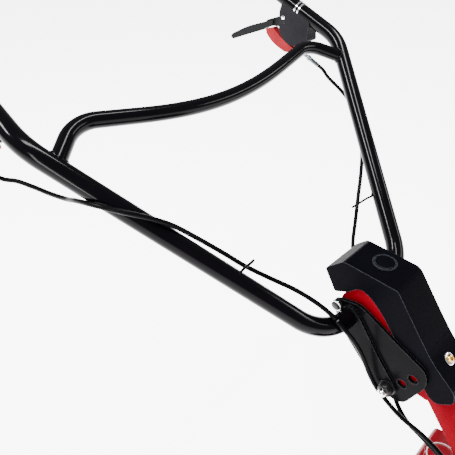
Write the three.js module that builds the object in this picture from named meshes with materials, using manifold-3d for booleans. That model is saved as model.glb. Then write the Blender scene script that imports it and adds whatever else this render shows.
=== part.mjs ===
// A walk-behind powered reel mower: a red column with a cranked head carries the handlebar, and stands on a
// chassis with a helical reel in front, a bed knife, a front roller, a split rear roller and a small engine.
// Millimetres, +Z up, front towards -Y. X is across the machine, so the operator's left hand is at +X.
// The parts are drawn with Y = 0 below the column's foot, and the whole group is moved to centre its length.
import * as THREE from "three";
import { mergeVertices } from "three/addons/utils/BufferGeometryUtils.js";
import Module from "manifold-3d";

const wasm = await Module();
wasm.setup();

// ---------------------------------------------------------------- driving dimensions
const GAP = 0.3; // left between touching pieces
const MERGE_TOLERANCE = 0.04; // edges flatter than this are merged
const DEG = Math.PI / 180;
const CENTRE_SHIFT_Y = -327.78; // puts the middle of the machine's length at Y = 0

// Handlebar: one bent tube, a U whose legs flare and whose grips run straight back.
const TUBE = { radius: 14, wall: 2, sides: 12 };
const PIVOT = { y: 347, z: 680 }; // axis of the tube's straight part, about which the handlebar turns
const LEG = { slope: 38.15 * DEG, flare: 28.21 * DEG, rise: 412.6, footX: 101.8 };
const GRIP = { slope: 20.95 * DEG, tubeEnd: 322, start: 180, length: 146, radius: 17, flange: 21 };
const BEND_LOW = 85;
const BEND_HIGH = 100;
const LEG_TOP_X = LEG.footX + Math.tan(LEG.flare) * LEG.rise;

const CROSSBAR = { radius: 11.5, bore: 9.5, drop: -7, middle: 382, bow: 37, shoulder: 60, sides: 8,
  jointRun: 372, cornerX: 245, cornerRun: 424 };

// Head of the column.
const COLUMN = {
  halfWidth: 33, frontHalfWidth: 21, chamferFrom: 17, depth: 39.5, wall: 3, corner: 5, slope: 49.5 * DEG,
};
const COLUMN_REAR = { y: 222, z: 611 }; // a point on the column's rear face
const SECTOR = { inner: 38.4, thickness: 5, holeRadius: 7, holeArc: 119, pinAngle: 225.8, step: 12 };
const ARM = { inner: 43.8, thickness: 4.5 };
const TIE_BOLT = { y: 367.5, z: 691, shank: 3.2, head: 8.6 };
const COVER = { halfWidth: 38, noseHalfWidth: 25, wall: 2.6 };

// Chassis.
const PLATE = { inner: 225, thickness: 5 };
const REEL = { y: -175, z: 98, radius: 65, blades: 5, spiders: 3, twist: 62 * DEG, halfLength: 216, shaft: 12 };
const REAR_ROLLER = { y: 95, z: 80, radius: 80, length: 205, axle: 10 };
const FRONT_ROLLER = { y: -290, z: 35, radius: 35, axle: 7 };
const DECK_Z = 188;
const BEAM = { y: -150, halfDepth: 35, bottom: 172, top: 206, wall: 3 };
const CRANK = { y: 85, z: 288, radius: 12 };
const FILLER = { x: 42, y: 168, top: 392 };
const REEL_BELT_X = 246;
const DRIVE_BELT_X = 266;
const BELT = { width: 12, depth: 8 };
const PULLEY = { reel: 45, engine: 32, engineDrive: 24, axle: 54 };

// ---------------------------------------------------------------- materials
const finish = (color, roughness, metalness) => new THREE.MeshStandardMaterial({ color, roughness, metalness });
const glossBlack = () => finish(0x0b0b0c, 0.18, 0.1);
const blackPlastic = () => finish(0x17181a, 0.5, 0);
const greyPlastic = () => finish(0x3a3a3e, 0.55, 0);
const redPaint = () => finish(0xb8102a, 0.25, 0.1);
const redPlastic = () => finish(0xc11a22, 0.4, 0);
const blackSteel = () => finish(0x121214, 0.35, 0.3);
const rubber = () => finish(0x111111, 0.85, 0);
const steel = () => finish(0xb9bbbe, 0.3, 1);
const chrome = () => finish(0xdcdcdc, 0.1, 1);
const aluminium = () => finish(0xa9acb0, 0.4, 1);
const castGrey = () => finish(0x8d9094, 0.55, 0.7);

// ---------------------------------------------------------------- solids
function weld(geometry) {
  const bare = geometry.clone();
  for (const name of Object.keys(bare.attributes)) {
    if (name !== "position") bare.deleteAttribute(name);
  }
  return mergeVertices(bare, 1e-3);
}

function toManifold(geometry) {
  const welded = weld(geometry);
  const solidFrom = (triVerts) =>
    new wasm.Manifold(new wasm.Mesh({ numProp: 3, vertProperties: welded.attributes.position.array, triVerts }));
  const triangles = new Uint32Array(welded.index.array);
  const solid = solidFrom(triangles);
  if (solid.volume() > 0) return solid;
  for (let i = 0; i < triangles.length; i += 3) {
    [triangles[i], triangles[i + 1]] = [triangles[i + 1], triangles[i]];
  }
  return solidFrom(triangles);
}

function fromManifold(solid) {
  const mesh = solid.getMesh();
  const geometry = new THREE.BufferGeometry();
  geometry.setAttribute("position", new THREE.BufferAttribute(Float32Array.from(mesh.vertProperties), 3));
  geometry.setIndex(new THREE.BufferAttribute(Uint32Array.from(mesh.triVerts), 1));
  geometry.computeVertexNormals();
  return geometry;
}

const join = (...pieces) => fromManifold(pieces.map(toManifold).reduce((a, b) => a.add(b)));
const cut = (body, ...tools) => fromManifold(tools.map(toManifold).reduce((a, b) => a.subtract(b), toManifold(body)));
const common = (a, b) => fromManifold(toManifold(a).intersect(toManifold(b)));

// Turns a drawing in the (Y, Z) plane, with its depth along +X, into the machine's axes.
const SIDE_VIEW = new THREE.Matrix4().makeBasis(
  new THREE.Vector3(0, 1, 0),
  new THREE.Vector3(0, 0, 1),
  new THREE.Vector3(1, 0, 0),
);

// A closed outline through corner points, each [u, v] or [u, v, radius].
function outline(points, radius = 0) {
  const shape = new THREE.Shape();
  const count = points.length;
  for (let i = 0; i < count; i++) {
    const corner = new THREE.Vector2(points[i][0], points[i][1]);
    const before = new THREE.Vector2(...points[(i + count - 1) % count].slice(0, 2));
    const after = new THREE.Vector2(...points[(i + 1) % count].slice(0, 2));
    const r = points[i][2] ?? radius;
    const reach = Math.min(r, corner.distanceTo(before) * 0.48, corner.distanceTo(after) * 0.48);
    const enter = corner.clone().lerp(before, reach / corner.distanceTo(before));
    const leave = corner.clone().lerp(after, reach / corner.distanceTo(after));
    if (i === 0) shape.moveTo(enter.x, enter.y);
    else shape.lineTo(enter.x, enter.y);
    if (reach > 0) shape.quadraticCurveTo(corner.x, corner.y, leave.x, leave.y);
  }
  shape.closePath();
  return shape;
}

// A round hole or disc with the given number of sides, none of which comes inside the radius.
function disc(u, v, radius, sides = 20) {
  const reach = radius / Math.cos(Math.PI / sides);
  return new THREE.Shape(ring(reach, sides).map((corner) => corner.add(new THREE.Vector2(u, v))));
}

// An outline of the side view, as a plate from x0 to x1.
function plate(shape, x0, x1, holes = [], curveSegments = 3) {
  for (const hole of holes) shape.holes.push(hole);
  const geometry = new THREE.ExtrudeGeometry(shape, { depth: x1 - x0, bevelEnabled: false, curveSegments });
  return geometry.applyMatrix4(SIDE_VIEW).translate(x0, 0, 0);
}

const plateOf = (points, x0, x1, radius = 0) => plate(outline(points, radius), x0, x1);

// A round bar along X.
function rodX(radius, x0, x1, y, z, sides = 20) {
  return new THREE.CylinderGeometry(radius, radius, x1 - x0, sides)
    .rotateZ(Math.PI / 2)
    .translate((x0 + x1) / 2, y, z);
}

function box(x0, x1, y0, y1, z0, z1) {
  return new THREE.BoxGeometry(x1 - x0, y1 - y0, z1 - z0).translate((x0 + x1) / 2, (y0 + y1) / 2, (z0 + z1) / 2);
}

// A turned piece about the X axis through (y, z): profile points are [radius, x].
function turnedX(profile, y, z, sides = 24) {
  const points = profile.map(([r, x]) => new THREE.Vector2(r, x));
  return new THREE.LatheGeometry(points, sides).rotateZ(-Math.PI / 2).translate(0, y, z);
}

// A turned piece about the Z axis through (x, y): profile points are [radius, z].
function turnedZ(profile, x, y, sides = 24) {
  const points = profile.map(([r, z]) => new THREE.Vector2(r, z));
  return new THREE.LatheGeometry(points, sides).rotateX(Math.PI / 2).translate(x, y, 0);
}

// A path that visits its points one after another, so a sweep gets one section at each of them.
class PointPath extends THREE.Curve {
  constructor(points) {
    super();
    this.points = points;
  }
  getPoint(t, target = new THREE.Vector3()) {
    const place = Math.min(Math.max(t, 0), 1) * (this.points.length - 1);
    const index = Math.min(Math.floor(place), this.points.length - 2);
    return target.lerpVectors(this.points[index], this.points[index + 1], place - index);
  }
  getTangent(t, target = new THREE.Vector3()) {
    const last = this.points.length - 1;
    const index = Math.round(t * last);
    return target
      .subVectors(this.points[Math.min(index + 1, last)], this.points[Math.max(index - 1, 0)])
      .normalize();
  }
  getUtoTmapping(u) {
    return u;
  }
}

function ring(radius, sides) {
  const corners = [];
  for (let i = 0; i < sides; i++) {
    const angle = (2 * Math.PI * i) / sides;
    corners.push(new THREE.Vector2(radius * Math.cos(angle), radius * Math.sin(angle)));
  }
  return corners;
}

function sweep(points, radius, sides, bore = 0) {
  const shape = new THREE.Shape(ring(radius, sides));
  if (bore > 0) shape.holes.push(new THREE.Path(ring(bore, sides)));
  return new THREE.ExtrudeGeometry(shape, {
    steps: points.length - 1,
    extrudePath: new PointPath(points),
    bevelEnabled: false,
  });
}

// The points of a line through corners, with each corner [point, radius] rounded by an arc.
function roundedRoute(corners, stepAngle = 11 * DEG) {
  const route = [corners[0][0]];
  for (let i = 1; i < corners.length - 1; i++) {
    const [corner, radius] = corners[i];
    if (radius === 0) {
      route.push(corner);
      continue;
    }
    const back = new THREE.Vector3().subVectors(corners[i - 1][0], corner).normalize();
    const ahead = new THREE.Vector3().subVectors(corners[i + 1][0], corner).normalize();
    const turn = Math.PI - back.angleTo(ahead);
    const reach = radius * Math.tan(turn / 2);
    const centreWay = new THREE.Vector3().addVectors(back, ahead).normalize();
    const centre = corner.clone().addScaledVector(centreWay, radius / Math.cos(turn / 2));
    const start = corner.clone().addScaledVector(back, reach).sub(centre);
    const axis = new THREE.Vector3().crossVectors(start, corner.clone().addScaledVector(ahead, reach).sub(centre));
    const steps = Math.max(2, Math.round(turn / stepAngle));
    for (let k = 0; k <= steps; k++) {
      route.push(start.clone().applyAxisAngle(axis.clone().normalize(), (turn * k) / steps).add(centre));
    }
  }
  route.push(corners[corners.length - 1][0]);
  return route;
}

function smoothRoute(points, steps) {
  const curve = new THREE.CatmullRomCurve3(points.map((p) => new THREE.Vector3(...p)), false, "centripetal");
  return curve.getSpacedPoints(steps);
}

// ---------------------------------------------------------------- places on the handlebar
// A point of a leg's plane: x across, run along the slope, lift square to it.
function onLegPlane(x, run, lift = 0) {
  return new THREE.Vector3(
    x,
    PIVOT.y + run * Math.cos(LEG.slope) - lift * Math.sin(LEG.slope),
    PIVOT.z + run * Math.sin(LEG.slope) + lift * Math.cos(LEG.slope),
  );
}

const GRIP_ROOT = onLegPlane(0, LEG.rise);

// Takes a drawing made with u along the grip and v square to it, upwards, to the machine's side view.
function gripFrame(geometry) {
  return geometry.rotateX(GRIP.slope).translate(0, GRIP_ROOT.y, GRIP_ROOT.z);
}

function onGrip(x, u, v = 0) {
  return new THREE.Vector3(x, u, v).applyAxisAngle(new THREE.Vector3(1, 0, 0), GRIP.slope).add(GRIP_ROOT);
}

const legX = (run) => LEG.footX + Math.tan(LEG.flare) * run;

// ---------------------------------------------------------------- handlebar pieces
function handlebarRoute() {
  return roundedRoute([
    [onGrip(LEG_TOP_X, GRIP.tubeEnd), 0],
    [onGrip(LEG_TOP_X, 0), BEND_HIGH],
    [onLegPlane(LEG.footX, 0), BEND_LOW],
    [onLegPlane(-LEG.footX, 0), BEND_LOW],
    [onGrip(-LEG_TOP_X, 0), BEND_HIGH],
    [onGrip(-LEG_TOP_X, GRIP.tubeEnd), 0],
  ]);
}

function handlebarTube() {
  return sweep(handlebarRoute(), TUBE.radius, TUBE.sides, TUBE.radius - TUBE.wall);
}

function crossbarRoute() {
  const { jointRun, cornerX, cornerRun, shoulder, middle, bow, drop } = CROSSBAR;
  const bowed = [];
  for (let x = -160; x <= 160; x += 40) {
    const part = (x / 200) ** 2;
    bowed.push([onLegPlane(x, middle + bow * part - 5 * part * part, drop), 0]);
  }
  return roundedRoute([
    [onLegPlane(-legX(jointRun), jointRun), 0],
    [onLegPlane(-cornerX, cornerRun, drop), shoulder],
    ...bowed,
    [onLegPlane(cornerX, cornerRun, drop), shoulder],
    [onLegPlane(legX(jointRun), jointRun), 0],
  ], 18 * DEG);
}

function crossbar() {
  const bar = sweep(crossbarRoute(), CROSSBAR.radius, CROSSBAR.sides, CROSSBAR.bore);
  return cut(bar, sweep(handlebarRoute(), TUBE.radius + GAP, TUBE.sides));
}

// A rubber sleeve with a flange at its inner end and a closed, rounded outer end.
function grip(side) {
  const inner = TUBE.radius + 2 * GAP;
  const end = GRIP.start + GRIP.length;
  const profile = [
    [inner, GRIP.start],
    [GRIP.flange, GRIP.start],
    [GRIP.flange, GRIP.start + 4],
    [GRIP.radius, GRIP.start + 9],
    [GRIP.radius, end - 6],
    [GRIP.radius - 4, end],
    [0, end],
    [0, GRIP.tubeEnd + GAP],
    [inner, GRIP.tubeEnd + GAP],
    [inner, GRIP.start],
  ].map(([r, y]) => new THREE.Vector2(r, y));
  return gripFrame(new THREE.LatheGeometry(profile, 14)).translate(side * LEG_TOP_X, 0, 0);
}

// Drawings below use u along the grip from its bend, and v upwards from the tube's axis.
const LEVER_PIN = { u: 125.3, v: -27, radius: 3.5 };
const LATCH_PIN = { u: 84, v: -64, radius: 2.5 };
const HOUSING_HALF = 15;
const SLOT_HALF = 4.6;

// The moulded body under the grip tube, with a slot for the lever's and the latch's roots.
function leverHousing(side) {
  const body = plateOf(
    [
      [141, -2, 5], [140, -24, 8], [131, -38, 8], [126, -56, 8], [108, -66.5, 8], [90, -68, 6], [77, -64, 8],
      [65, -51, 8], [50, -37, 5], [59, -22, 10], [63, -2, 4],
    ],
    -HOUSING_HALF,
    HOUSING_HALF,
  );
  const tube = new THREE.CylinderGeometry(TUBE.radius + GAP, TUBE.radius + GAP, 200, 20).translate(0, 110, 0);
  const slot = box(-SLOT_HALF, SLOT_HALF, 68, 160, -80, -17);
  const leverBore = rodX(LEVER_PIN.radius + 0.45, -8, 8, LEVER_PIN.u, LEVER_PIN.v, 16);
  const backWall = box(-SLOT_HALF - 1, SLOT_HALF + 1, 59, 66, -46, -20);
  const body2 = cut(body, tube, slot, leverBore);
  return gripFrame(join(body2, backWall)).translate(side * LEG_TOP_X, 0, 0);
}

function clutchLever(side) {
  const root = plateOf(
    [[119, -21, 6], [130, -21, 5], [140, -34, 6], [172, -62, 6], [172, -74, 4], [160, -68, 6], [140, -52, 8],
      [124, -35, 6], [118, -32, 5]],
    -3.6,
    3.6,
  );
  const blade = plateOf(
    [[152, -49, 3], [174, -67.5, 20], [211, -98.5, 20], [248, -140, 4], [251, -149, 5], [242, -151, 5],
      [233, -142, 10], [168, -82, 8], [163, -73, 5], [149, -61, 3]],
    -9,
    9,
  );
  const pin = rodX(LEVER_PIN.radius, -7.6, 7.6, LEVER_PIN.u, LEVER_PIN.v, 12);
  return gripFrame(join(root, blade, pin)).translate(side * LEG_TOP_X, 0, 0);
}

// The curved red catch below the housing.
function safetyLatch(side) {
  const strap = plateOf(
    [[163, -77, 3], [158, -84, 5], [140, -91, 20], [118, -93, 20], [94, -91, 6], [80, -79, 4], [80, -72, 3],
      [94, -72.5, 6], [108, -72, 10], [128, -68, 12], [147.5, -64.5, 2]],
    -8,
    8,
  );
  const root = plateOf([[78, -60, 4], [90, -60, 4], [98, -76, 3], [98, -84, 3], [86, -80, 3]], -3.6, 3.6);
  return gripFrame(join(strap, root)).translate(side * LEG_TOP_X, 0, 0);
}

// Threaded cable adjuster along Y: a slim end of the given length, a nut and a barrel.
function adjusterBody(slimEnd) {
  const profile = [
    [0, slimEnd], [2.2, slimEnd], [2.2, 18], [3.2, 16], [3.2, 10], [5, 10], [5, 2], [4, 2], [4, -20], [3.2, -23],
    [0, -23],
  ].map(([r, y]) => new THREE.Vector2(r, y));
  return new THREE.LatheGeometry(profile, 10);
}

// The left one lies along the grip, in front of the housing.
function leftAdjuster() {
  return gripFrame(adjusterBody(38).translate(0, 35, -70.8)).translate(LEG_TOP_X, 0, 0);
}

// The right one stands under the housing.
function rightAdjuster() {
  const slimEnd = 22;
  const body = adjusterBody(slimEnd).rotateX(Math.PI / 2).translate(-10, 70, -61 - slimEnd);
  return gripFrame(body).translate(-LEG_TOP_X, 0, 0);
}

// The arm welded to the tube, which the lock bolt ties to the sector plate.
const sectorPoint = (degrees) => [
  PIVOT.y + SECTOR.holeArc * Math.cos(degrees * DEG),
  PIVOT.z + SECTOR.holeArc * Math.sin(degrees * DEG),
];
const LOCK = sectorPoint(SECTOR.pinAngle);

function handleArm(side) {
  const way = new THREE.Vector2(LOCK[0] - PIVOT.y, LOCK[1] - PIVOT.z).normalize();
  const across = new THREE.Vector2(-way.y, way.x);
  const corner = (along, off) => [PIVOT.y + way.x * along + across.x * off, PIVOT.z + way.y * along + across.y * off];
  const shape = outline([
    [...corner(-17, -15), 13], [...corner(8, -18), 10], [...corner(60, -13), 12], [...corner(132, -12), 11],
    [...corner(132, 12), 11], [...corner(60, 13), 12], [...corner(8, 18), 10], [...corner(-17, 15), 13],
  ]);
  const holes = [disc(PIVOT.y, PIVOT.z, TUBE.radius + GAP), disc(...LOCK, 4.3)];
  const x0 = side > 0 ? ARM.inner : -ARM.inner - ARM.thickness;
  return plate(shape, x0, x0 + ARM.thickness, holes);
}

// Lock bolt: a shank in the arm's hole, a washer, and a knob or a hexagon outside.
function lockBolt(side, headRadius, headSides) {
  const outer = ARM.inner + ARM.thickness + GAP;
  const profile = [
    [0, ARM.inner - 0.1], [4, ARM.inner - 0.1], [4, outer], [12, outer], [12, outer + 2.5], [headRadius, outer + 2.5],
    [headRadius, outer + 11], [6.5, outer + 13], [6.5, outer + 17], [4.5, outer + 20], [0, outer + 21],
  ].map(([r, x]) => [r, side * x]);
  return turnedX(profile, LOCK[0], LOCK[1], headSides);
}

// ---------------------------------------------------------------- clutch cables
const CABLE = { radius: 2.9, sides: 5 };

const CABLE_ROUTES = {
  clutch_cable_right_upper: {
    steps: 36,
    points: [
      [-333.1, 775.6, 858.9], [-332.3, 778, 852], [-326, 773, 846], [-315, 755, 846], [-304, 727, 844],
      [-297, 692, 846], [-292, 654, 853], [-293, 617, 868], [-286.5, 579, 876], [-265, 549.5, 870], [-239, 536, 855],
      [-219, 524, 841], [-190, 507, 812], [-162, 486, 782], [-144, 468, 762], [-125, 442, 746], [-104, 405, 731],
      [-92, 375, 718], [-86, 353, 706.5], [-85.6, 347.5, 703.2],
    ],
  },
  clutch_cable_right_lower: {
    steps: 26,
    points: [
      [-85.3, 344.6, 701.1], [-82, 331, 690], [-72, 317, 666], [-62, 306, 638], [-56, 288, 601], [-54, 273, 583],
      [-50, 233, 556], [-45, 195, 543], [-42, 160, 522], [-41, 110, 458], [-41, 50, 380], [-42, 0, 318],
      [-44, -40, 262], [-52, -60, 222], [-55, -64, 206], [-56, -65, 189],
    ],
  },
  clutch_cable_left_upper: {
    steps: 26,
    points: [
      [323.1, 706.9, 872.6], [322.4, 697, 869], [310, 672, 861], [290, 624, 851], [274, 590, 840], [254, 558, 820], [232, 533, 800],
      [212, 513, 783], [181, 491, 759], [149, 471, 734], [127, 456, 706], [115, 447, 674], [109, 440, 656],
    ],
  },
  clutch_cable_left_lower: {
    steps: 26,
    points: [
      [100, 431, 648], [92, 414, 638], [76, 388, 630], [52, 350, 622], [24, 312, 603], [-8, 280, 580], [-32, 252, 560],
      [-42, 226, 546], [-43.5, 195, 535.5], [-37, 155, 508], [-36, 110, 450], [-36, 50, 372], [-36.5, 0, 306],
      [-38, -45, 250], [-40, -62, 222], [-42, -66, 206], [-42, -66, 189],
    ],
  },
};

const cable = ({ points, steps }) => sweep(smoothRoute(points, steps), CABLE.radius, CABLE.sides);

// ---------------------------------------------------------------- column and head
const DOWN = new THREE.Vector2(-Math.cos(COLUMN.slope), -Math.sin(COLUMN.slope)); // down the column, in (Y, Z)
const FRONT = new THREE.Vector2(-Math.sin(COLUMN.slope), Math.cos(COLUMN.slope)); // out of its front face
const FOOT_TOP = BEAM.top + 6 + 2 * GAP;

// A point of the side view: run down the column's rear face, and lift in front of it.
function onColumn(run, lift) {
  return [
    COLUMN_REAR.y + DOWN.x * run + FRONT.x * lift,
    COLUMN_REAR.z + DOWN.y * run + FRONT.y * lift,
  ];
}

// A rectangle of the column's cross-section, swept from run0 to run1.
function columnPrism(points, run0, run1, radius) {
  const geometry = new THREE.ExtrudeGeometry(outline(points, radius), {
    depth: run1 - run0,
    bevelEnabled: false,
    curveSegments: 2,
  });
  const [y, z] = onColumn(run0, 0);
  const axes = new THREE.Matrix4().makeBasis(
    new THREE.Vector3(-1, 0, 0),
    new THREE.Vector3(0, FRONT.x, FRONT.y),
    new THREE.Vector3(0, DOWN.x, DOWN.y),
  );
  return geometry.applyMatrix4(axes).translate(0, y, z);
}

function steeringColumn() {
  const w = COLUMN.halfWidth;
  const front = COLUMN.frontHalfWidth;
  const section = (inset) => [
    [-w + inset, inset], [w - inset, inset], [w - inset, COLUMN.chamferFrom],
    [front - inset * 0.8, COLUMN.depth - inset], [-front + inset * 0.8, COLUMN.depth - inset],
    [-w + inset, COLUMN.chamferFrom],
  ];
  const length = 560;
  const tube = columnPrism(section(0), -40, length, COLUMN.corner);
  const bore = columnPrism(section(COLUMN.wall), -30, length + 5, COLUMN.corner - COLUMN.wall);
  const belowFoot = box(-60, 60, -420, 60, -60, FOOT_TOP);
  const cheek = [
    [212, 600, 4], [240, 601, 10], [300, 630, 20], [352, 656, 16], [374, 676, 14], [370, 700, 6], [356, 722, 8],
    [338, 729, 10], [318, 719, 10], [250, 672, 8], [206, 622, 4],
  ];
  const head = plateOf(cheek, -w, w);
  const pocket = plateOf(
    [[222, 590], [300, 620], [380, 650], [380, 696], [352, 717], [338, 724], [320, 714], [262, 674], [232, 640]],
    -w + 4,
    w - 4,
  );
  const tubeBore = rodX(TUBE.radius + GAP + 0.3, -w - 5, w + 5, PIVOT.y, PIVOT.z, 24);
  const boltBore = rodX(TIE_BOLT.shank + GAP, -w - 5, w + 5, TIE_BOLT.y, TIE_BOLT.z, 12);
  return cut(join(cut(head, pocket), tube), bore, belowFoot, tubeBore, boltBore);
}

function columnFoot() {
  const [y] = onColumn(500, COLUMN.depth / 2);
  return box(-52, 52, y - 48, y + 42, BEAM.top + GAP, FOOT_TOP - GAP);
}

// The moulded cover over the column's head: side profile cut by a nose that is narrower in front.
function columnCover() {
  const side = [
    [377, 761, 4], [404, 733, 4], [382, 700, 4], [361, 713, 3], [350, 726, 3], [340, 731, 4], [324, 725, 6],
    [305, 710, 8], [286, 689, 8], [266, 668, 8], [246, 649, 8], [222, 627, 6], [209, 614, 5], [198, 613, 5],
    [180, 632, 6], [184, 650, 10], [224, 681, 14], [252, 713, 14], [293, 762, 4],
  ];
  const w = COVER.halfWidth;
  const nose = COVER.noseHalfWidth;
  const plan = [[-w, -160], [w, -160], [w, 90], [-nose, 90], [-nose, 43.5], [-w, 22]];
  const outer = common(plateOf(side, -w, w), columnPrism(plan, -230, 60, 0));
  const t = COVER.wall;
  const innerSide = [
    [372, 758], [398, 733], [370, 690], [240, 590], [182, 590], [182, 633], [188, 648], [226, 678], [254, 710],
    [295, 757],
  ];
  const innerPlan = [
    [-w + t, -160], [w - t, -160], [w - t, 90], [-nose + t, 90], [-nose + t, 41.5], [-w + t, 21],
  ];
  const inner = common(plateOf(innerSide, -w + t, w - t), columnPrism(innerPlan, -230, 60, 0));
  const bevel = box(-20, 20, 150, 420, 0, 20).rotateY(45 * DEG).translate(w - 4.6, 0, 761 - 4.6);
  return cut(outer, inner, bevel);
}

function coverCap() {
  return turnedZ([[0, 762], [17.5, 762], [17.5, 764], [16, 765.2], [0, 765.2]].map(([r, z]) => [r, z]), 0, 335, 28);
}

// A pan-head screw, square to the cover's sloping front face.
function coverScrew() {
  const profile = [[0, 0], [5.5, 0], [5.5, 2.4], [4, 4.2], [0, 4.6]].map(([r, y]) => new THREE.Vector2(r, y));
  return new THREE.LatheGeometry(profile, 14).rotateX(127.8 * DEG).translate(-8.5, 212.2, 672.7);
}

// One of the two plates that hold the handlebar's tube and the row of height holes.
function sectorPlate(side) {
  const shape = outline([
    [381, 692, 12], [338, 708, 14], [288, 686, 30], [224, 661, 9], [217, 638, 12], [238, 574, 14], [272, 569, 24],
    [318, 608, 30], [362, 650, 20],
  ]);
  const holes = [
    disc(PIVOT.y, PIVOT.z, TUBE.radius + GAP + 0.3),
    disc(TIE_BOLT.y, TIE_BOLT.z, TIE_BOLT.shank + GAP, 12),
  ];
  for (let k = 0; k < 3; k++) holes.push(disc(...sectorPoint(SECTOR.pinAngle - k * SECTOR.step), SECTOR.holeRadius, 14));
  const x0 = side > 0 ? SECTOR.inner : -SECTOR.inner - SECTOR.thickness;
  return plate(shape, x0, x0 + SECTOR.thickness, holes);
}

// ---------------------------------------------------------------- chassis
const CHASSIS_SIDE = [
  [-316, 62, 10], [-318, 118, 16], [-262, 180, 20], [-188, 212, 14], [10, 212, 20], [140, 196, 30], [176, 150, 20],
  [162, 70, 24], [120, 40, 20], [60, 40, 20], [0, 62, 30], [-70, 40, 20], [-128, 20, 10], [-176, 20, 14],
  [-228, 46, 20], [-262, 62, 12],
];

function sidePlate(side) {
  const x0 = side > 0 ? PLATE.inner : -PLATE.inner - PLATE.thickness;
  const holes = [
    disc(REEL.y, REEL.z, REEL.shaft + 0.06),
    disc(REAR_ROLLER.y, REAR_ROLLER.z, REAR_ROLLER.axle + 0.06),
  ];
  return plate(outline(CHASSIS_SIDE), x0, x0 + PLATE.thickness, holes, 4);
}

const ACROSS = PLATE.inner - GAP;

// The folded plate that the engine stands on.
function engineDeck() {
  return plateOf(
    [[-72, 166], [-72, DECK_Z], [150, DECK_Z], [168, 170], [166, 166], [149, 184], [-68, 184], [-68, 166]],
    -ACROSS,
    ACROSS,
  );
}

function crossBeam() {
  const outer = box(-ACROSS, ACROSS, BEAM.y - BEAM.halfDepth, BEAM.y + BEAM.halfDepth, BEAM.bottom, BEAM.top);
  const inner = box(
    -ACROSS - 5,
    ACROSS + 5,
    BEAM.y - BEAM.halfDepth + BEAM.wall,
    BEAM.y + BEAM.halfDepth - BEAM.wall,
    BEAM.bottom + BEAM.wall,
    BEAM.top - BEAM.wall,
  );
  return cut(outer, inner);
}

// The curved sheet that throws the clippings forward, over the reel.
function deflector() {
  const shape = new THREE.Shape();
  const from = 118 * DEG;
  const to = 172 * DEG;
  shape.absarc(REEL.y, REEL.z, 78, from, to, false);
  shape.absarc(REEL.y, REEL.z, 75.5, to, from, true);
  shape.closePath();
  return plate(shape, -ACROSS, ACROSS, [], 8);
}

function bedBar() {
  return plateOf([[-128, 43.3], [-96, 43.3], [-96, 60], [-103, 76], [-108, 76], [-116, 62], [-128, 48]], -ACROSS, ACROSS);
}

function bedKnife() {
  return plateOf([[-143, 39.5], [-96, 37], [-96, 43], [-133, 43]], -ACROSS + 4, ACROSS - 4);
}

// ---------------------------------------------------------------- reel
function reelShaft() {
  return rodX(REEL.shaft, -PLATE.inner - 10, REEL_BELT_X + 10, REEL.y, REEL.z, 20);
}

function twistAlongX(geometry, anglePerMm) {
  const position = geometry.attributes.position;
  const point = new THREE.Vector3();
  for (let i = 0; i < position.count; i++) {
    point.fromBufferAttribute(position, i);
    point.applyAxisAngle(new THREE.Vector3(1, 0, 0), point.x * anglePerMm);
    position.setXYZ(i, point.x, point.y, point.z);
  }
  return geometry;
}

// Disc spiders on the shaft carry helical blades.
function reelCage() {
  const length = 2 * REEL.halfLength;
  const solids = [];
  for (let i = 0; i < REEL.spiders; i++) {
    const x = -REEL.halfLength + 6 + (i * (length - 12)) / (REEL.spiders - 1);
    solids.push(plate(disc(0, 0, 50, 16), x - 2.5, x + 2.5, [disc(0, 0, REEL.shaft + GAP, 16)]));
  }
  for (let i = 0; i < REEL.blades; i++) {
    const blade = new THREE.BoxGeometry(length, 5, 24, 10, 1, 1).translate(0, 0, REEL.radius - 12);
    blade.rotateX(((2 * Math.PI) / REEL.blades) * i);
    solids.push(twistAlongX(blade, REEL.twist / length));
  }
  return join(...solids).translate(0, REEL.y, REEL.z);
}

// A V-belt pulley about (y, z), centred at x, with a groove that leaves room for the belt.
function pulleyProfile(x, radius, bore) {
  const half = BELT.width / 2 + 3;
  return [
    [bore, x - half], [radius + 3, x - half], [radius + 3, x - half + 2], [radius - 5, x - 3.5], [radius - 5, x + 3.5],
    [radius + 3, x + half - 2], [radius + 3, x + half], [bore, x + half], [bore, x - half],
  ];
}

const reelPulley = () => turnedX(pulleyProfile(REEL_BELT_X, PULLEY.reel, REEL.shaft + GAP), REEL.y, REEL.z, 18);

// ---------------------------------------------------------------- rollers
function rearRoller(side) {
  const { radius, length, axle } = REAR_ROLLER;
  const inner = 6;
  const outer = inner + length;
  const profile = [
    [radius, inner], [radius, outer - 3], [radius - 3, outer], [axle + GAP, outer], [axle + GAP, outer - 6],
    [radius - 6, outer - 6], [radius - 6, inner], [radius, inner],
  ].map(([r, x]) => [r, side * x]);
  return turnedX(profile, REAR_ROLLER.y, REAR_ROLLER.z, 24);
}

function rearAxle() {
  const shaft = rodX(REAR_ROLLER.axle, -PLATE.inner - 12, DRIVE_BELT_X + 12, REAR_ROLLER.y, REAR_ROLLER.z, 20);
  const pulley = turnedX(pulleyProfile(DRIVE_BELT_X, PULLEY.axle, 6), REAR_ROLLER.y, REAR_ROLLER.z, 18);
  return join(shaft, pulley);
}

function frontRoller() {
  const { radius, axle } = FRONT_ROLLER;
  const half = 218;
  const profile = [[0, -240], [axle, -240], [axle, -half], [radius - 3, -half], [radius, -half + 3]];
  for (let x = -144; x <= 144; x += 96) profile.push([radius, x - 6], [radius - 4, x], [radius, x + 6]);
  profile.push([radius, half - 3], [radius - 3, half], [axle, half], [axle, 240], [0, 240]);
  return turnedX(profile, FRONT_ROLLER.y, FRONT_ROLLER.z, 20);
}

const CLAMP_Z = 128;

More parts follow.
